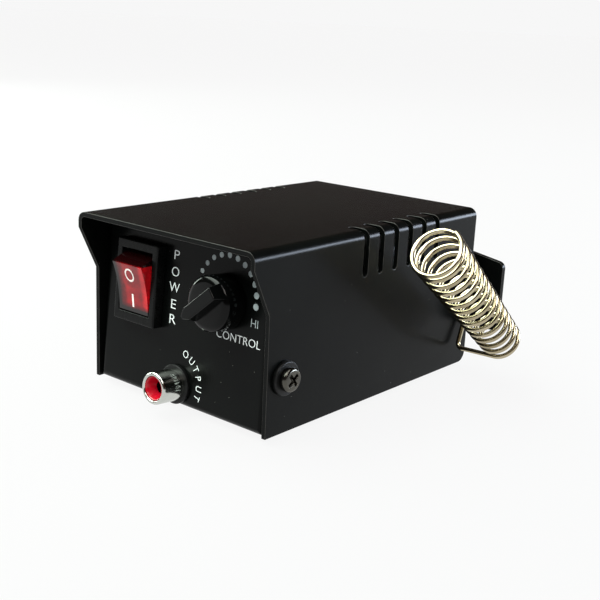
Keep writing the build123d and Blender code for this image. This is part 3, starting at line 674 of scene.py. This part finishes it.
def makeKnobBar():
    bar = knob["bar"]
    length = bar["shoulder"] - bar["heel"]
    height = bar["top"] - bar["foot"]
    middle = ((bar["shoulder"] + bar["heel"]) / 2 * mm, 0, (bar["top"] + bar["foot"]) / 2 * mm)
    bpy.ops.mesh.primitive_cube_add(
        size=1, location=middle, scale=(length * mm, bar["width"] * mm, height * mm),
    )
    piece = bpy.context.object
    bpy.ops.object.transform_apply(location=True, rotation=True, scale=True)
    selectFaces(piece, lambda face: face.normal.x > facing)
    reach = (bar["tip"] - bar["shoulder"]) * mm
    bpy.ops.mesh.extrude_region_move(TRANSFORM_OT_translate={"value": (reach, 0, 0)})
    bpy.ops.transform.resize(value=(1, bar["tipShare"], 1), center_override=(0, 0, 0))
    selectFaces(piece, lambda face: face.normal.z > facing)
    shareX, shareY = bar["topShare"]
    centre = (bar["topCentre"] * mm, 0, 0)
    bpy.ops.transform.resize(value=(shareX, shareY, 1), center_override=centre)
    bpy.ops.object.mode_set(mode="OBJECT")
    applyModifier(
        piece, "BEVEL", width=bar["edge"] * mm, segments=bar["segments"], limit_method="ANGLE",
        angle_limit=radians(bar["sharp"]),
    )
    bpy.ops.object.shade_smooth_by_angle(angle=radians(bar["smooth"]))
    applyModifier(piece, "WEIGHTED_NORMAL", keep_sharp=True)
    return piece


def makeKnob():
    place = panelPlace(knob["across"], knob["up"], 0)
    body = turnedPiece(knob["body"], knob["vertices"])
    settle(body, place)
    bar = makeKnobBar()
    settle(bar, place @ Matrix.Rotation(radians(knob["pointer"]), 4, "Z"))
    finishPiece(joinPieces([body, bar]), "pointerKnob", phenolic, "knob", "knob_black", "heat_knob")


makeKnob()
print("heat knob made")

# the print on the panel

lettering = {  # places on the panel and heights in mm, each width against the font's own
    "thickness": 0.02,
    "weight": -0.012,  # thins the strokes, against the height
    "capShare": 0.7,  # height of a capital against the font's size
    "curve": 4,
    "words": {  # text: across, up, height, width
        "CONTROL": (19.35, 21.55, 2.0, 1.04),
    },
    "scale": {  # the words at the ends of the scale, in the dots' grey
        "HI": (24.1, 26.3, 2.0, 0.95),
        "LO": (4.9, 26.4, 2.0, 0.95),
    },
    "power": {
        "across": -3.1, "ups": (37.5, 33.3, 29.4, 25.2, 21.4), "height": 2.4,
        "widths": (1.3, 1.05, 1.05, 1.3, 1.25),
    },
    "output": {
        "centre": (0.0, 6.3), "radius": 7.85, "angles": (70.7, 52.0, 35.3, 18.5, -1.0, -18.3),
        "height": 1.95, "width": 0.9,
    },
}


def makeText(text, across, up, height, width, turn=0.0):
    bpy.ops.object.text_add()
    piece = bpy.context.object
    piece.data.body = text
    piece.data.align_x = "CENTER"
    piece.data.align_y = "CENTER"
    piece.data.size = height * mm / lettering["capShare"]
    piece.data.offset = lettering["weight"] * height * mm
    piece.data.extrude = lettering["thickness"] * mm / 2
    piece.data.resolution_u = lettering["curve"]
    onlySelect(piece)
    bpy.ops.object.convert(target="MESH")
    piece.select_set(True)
    low = min(v.co.y for v in piece.data.vertices)
    high = max(v.co.y for v in piece.data.vertices)
    centre = Matrix.Translation((0, -(low + high) / 2, 0))
    turned = Matrix.Rotation(radians(turn), 4, "Z") @ Matrix.Diagonal((width, 1, 1, 1))
    settle(piece, panelPlace(across, up, lettering["thickness"] / 2) @ turned @ centre)
    return piece


def printLettering():  # the white letters and the grey ones
    white = [makeText(text, *where) for text, where in lettering["words"].items()]
    grey = [makeText(text, *where) for text, where in lettering["scale"].items()]
    power = lettering["power"]
    for letter, up, width in zip("POWER", power["ups"], power["widths"]):
        white.append(makeText(letter, power["across"], up, power["height"], width))
    output = lettering["output"]
    for letter, angle in zip("OUTPUT", output["angles"]):
        across = output["centre"][0] + output["radius"] * cos(radians(angle))
        up = output["centre"][1] + output["radius"] * sin(radians(angle))
        white.append(makeText(letter, across, up, output["height"], output["width"], angle - 90))
    return white, grey


scaleDots = {  # centre, radius and the first and last dot's width in mm, angles in degrees
    "centre": (14.6, 31.1),
    "radius": 9.52,
    "count": 13,
    "from": 185.5,
    "to": -5.3,
    "sizes": (1.15, 1.6),
    "vertices": 28,
}


def printDots():
    dots = []
    smallest, largest = scaleDots["sizes"]
    for index in range(scaleDots["count"]):
        share = index / (scaleDots["count"] - 1)
        angle = radians(scaleDots["from"] + (scaleDots["to"] - scaleDots["from"]) * share)
        size = smallest + (largest - smallest) * share
        bpy.ops.mesh.primitive_cylinder_add(
            vertices=scaleDots["vertices"], radius=size / 2 * mm, depth=lettering["thickness"] * mm,
        )
        across = scaleDots["centre"][0] + scaleDots["radius"] * cos(angle)
        up = scaleDots["centre"][1] + scaleDots["radius"] * sin(angle)
        dots.append(bpy.context.object)
        settle(dots[-1], panelPlace(across, up, lettering["thickness"] / 2))
    return dots


whitePrint, greyPrint = printLettering()
greyPrint += printDots()
finishPiece(joinPieces(whitePrint), "panelLettering", ink, "unit", "case_paint")
finishPiece(joinPieces(greyPrint), "panelDots", greyInk, "unit", "case_paint")

rockerMarks = {  # in mm, and the rocker's tilt at rest in degrees
    "pivot": (-14.3, -39.9016, 30.1252),
    "tilt": 15.0,
    "rise": 5.75,  # from the pivot to the ends of the dished face
    "dish": 0.6,
    "half": 6.4,
    "thickness": 0.1,
    "proud": 0.08,
    "ring": {
        "along": 3.4, "across": 3.3, "height": 3.7, "stroke": 0.5, "segments": 48, "strokeSegments": 12,
    },
    "bar": {"along": -3.4, "across": 0.6, "height": 3.4, "edge": 0.03, "segments": 2},
}


def rockerPlace(along):  # on the rocker's dished face, along it from its middle
    tip = radians(rockerMarks["tilt"])
    right, upwards, outwards = panelAxes()
    faceUp = upwards * cos(tip) + outwards * sin(tip)
    faceOut = outwards * cos(tip) - upwards * sin(tip)
    share = along / rockerMarks["half"]
    height = rockerMarks["rise"] - rockerMarks["dish"] * (1 - share * share)
    origin = Vector(rockerMarks["pivot"]) + faceUp * along + faceOut * (height + rockerMarks["proud"])
    slope = 2 * rockerMarks["dish"] * along / rockerMarks["half"] ** 2
    turn = Matrix((right, faceUp, faceOut)).transposed().to_4x4()
    return Matrix.Translation(origin * mm) @ turn @ Matrix.Rotation(slope, 4, "X")


def makeRockerMarks():
    ring = rockerMarks["ring"]
    depth = rockerMarks["thickness"] * mm
    bpy.ops.mesh.primitive_torus_add(
        major_segments=ring["segments"], minor_segments=ring["strokeSegments"],
        major_radius=(ring["height"] - ring["stroke"]) / 2 * mm, minor_radius=ring["stroke"] / 2 * mm,
    )
    circle = bpy.context.object
    bpy.ops.object.shade_smooth()
    sink = Matrix.Translation((0, 0, -depth / 2))
    flat = rockerMarks["thickness"] / ring["stroke"]
    squeeze = Matrix.Diagonal((ring["across"] / ring["height"], 1, flat, 1))
    settle(circle, rockerPlace(ring["along"]) @ sink @ squeeze)
    bar = rockerMarks["bar"]
    bpy.ops.mesh.primitive_cube_add(size=1)
    stroke = bpy.context.object
    scale = Matrix.Diagonal((bar["across"] * mm, bar["height"] * mm, depth, 1))
    settle(stroke, rockerPlace(bar["along"]) @ sink @ scale)
    applyModifier(stroke, "BEVEL", width=bar["edge"] * mm, segments=bar["segments"])
    finishPiece(joinPieces([circle, stroke]), "rockerMarks", whiteInlay, "rocker", "lamp_glass")


makeRockerMarks()
print("panel printed")
